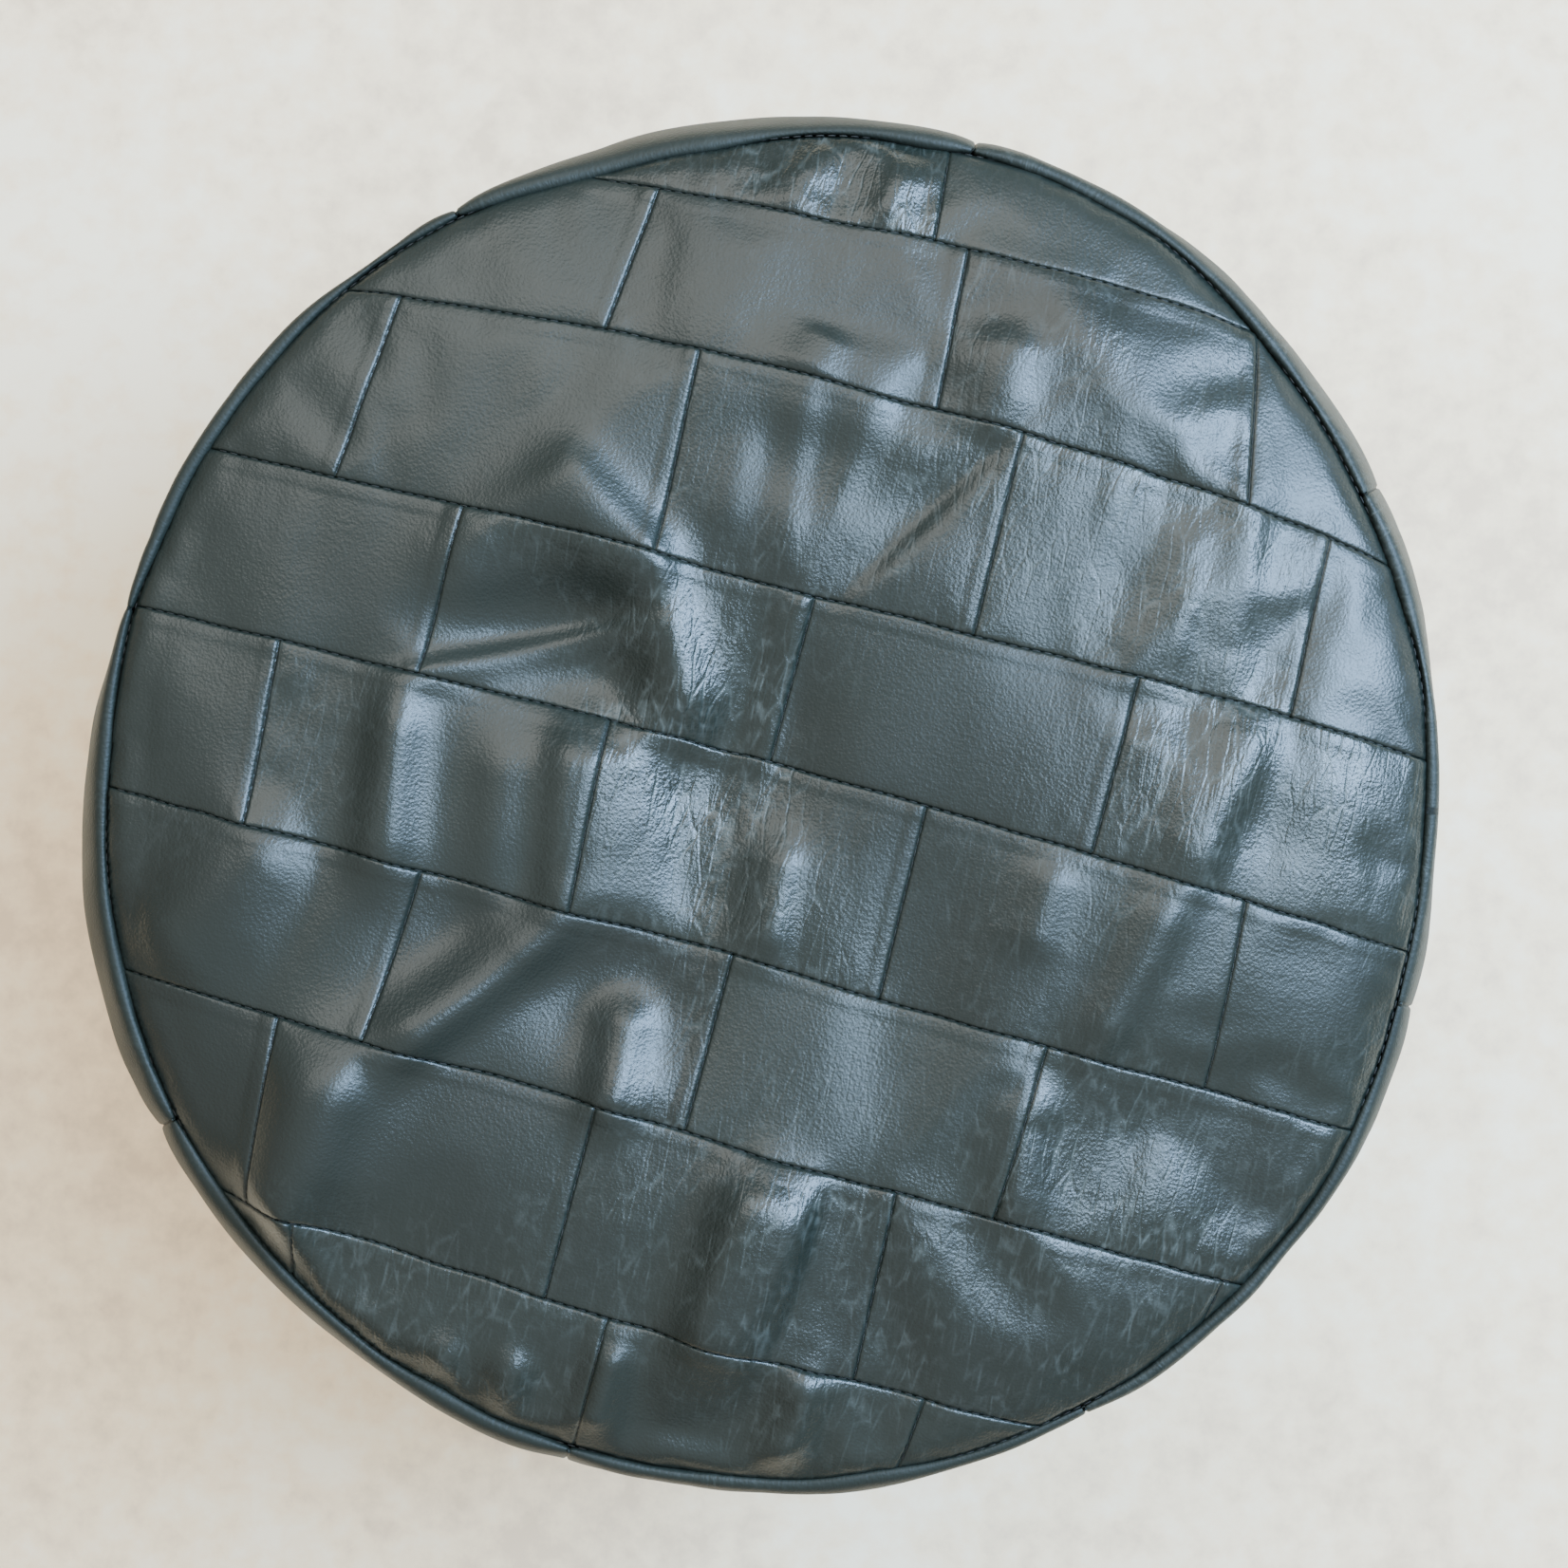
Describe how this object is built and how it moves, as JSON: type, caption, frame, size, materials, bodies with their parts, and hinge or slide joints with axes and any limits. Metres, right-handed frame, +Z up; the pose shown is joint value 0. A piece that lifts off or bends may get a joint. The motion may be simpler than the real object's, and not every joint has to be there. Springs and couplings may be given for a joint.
{
  "type": "storage ottoman",
  "caption": "Round soft ottoman in dark green patchwork leather: a slack cushion lid lifts off a padded drum with a lined storage space.",
  "frame": {"origin": "on the floor under the middle of the ottoman", "axes": "+Z up, out of the storage space through the lid; +X and +Y level, the top's patch rows run 13.7 degrees clockwise from +X"},
  "size_m": [0.6208, 0.6208, 0.398],
  "materials": {
    "leather": "satin",
    "thread": "matte",
    "foam": "matte",
    "wadding": "matte",
    "steel": "satin",
    "glide_plastic": "matte",
    "card": "matte",
    "dust_cloth": "matte",
    "lining_cloth": "matte",
    "plywood": "matte"
  },
  "bodies": {
    "base": {"glides": "glide_plastic", "glide_screws": "steel", "dust_cover": "dust_cloth", "base_board": "plywood", "base_staples": "steel", "drum_wall": "plywood", "wall_battens": "plywood", "top_ring": "plywood", "liner_card": "card", "lining_floor": "lining_cloth", "lining_wall": "lining_cloth", "wall_foam": "foam", "wall_wadding": "wadding", "rim_binding": "leather", "side_row_lower": "leather", "side_row_middle": "leather", "side_row_upper": "leather", "side_seam_thread": "thread"},
    "lid": {"lid_board": "plywood", "lid_edge_roll": "foam", "lid_foam": "foam", "lid_wadding": "wadding", "lid_band": "leather", "lid_edge_thread": "thread", "top_seam_thread": "thread", "lid_lining": "lining_cloth", "lid_staples": "steel", "locating_ring": "plywood", "locating_screws": "steel", "top_patch_row_1": "leather", "top_patch_row_2": "leather", "top_patch_row_3": "leather", "top_patch_row_4": "leather", "top_patch_row_5": "leather", "top_patch_row_6": "leather", "top_patch_row_7": "leather", "top_patch_row_8": "leather"}
  },
  "joints": [
    {"name": "lid_lift", "type": "slide", "parent": "base", "child": "lid", "axis": [0, 0, 1], "range_m": [0, 0.3]}
  ]
}
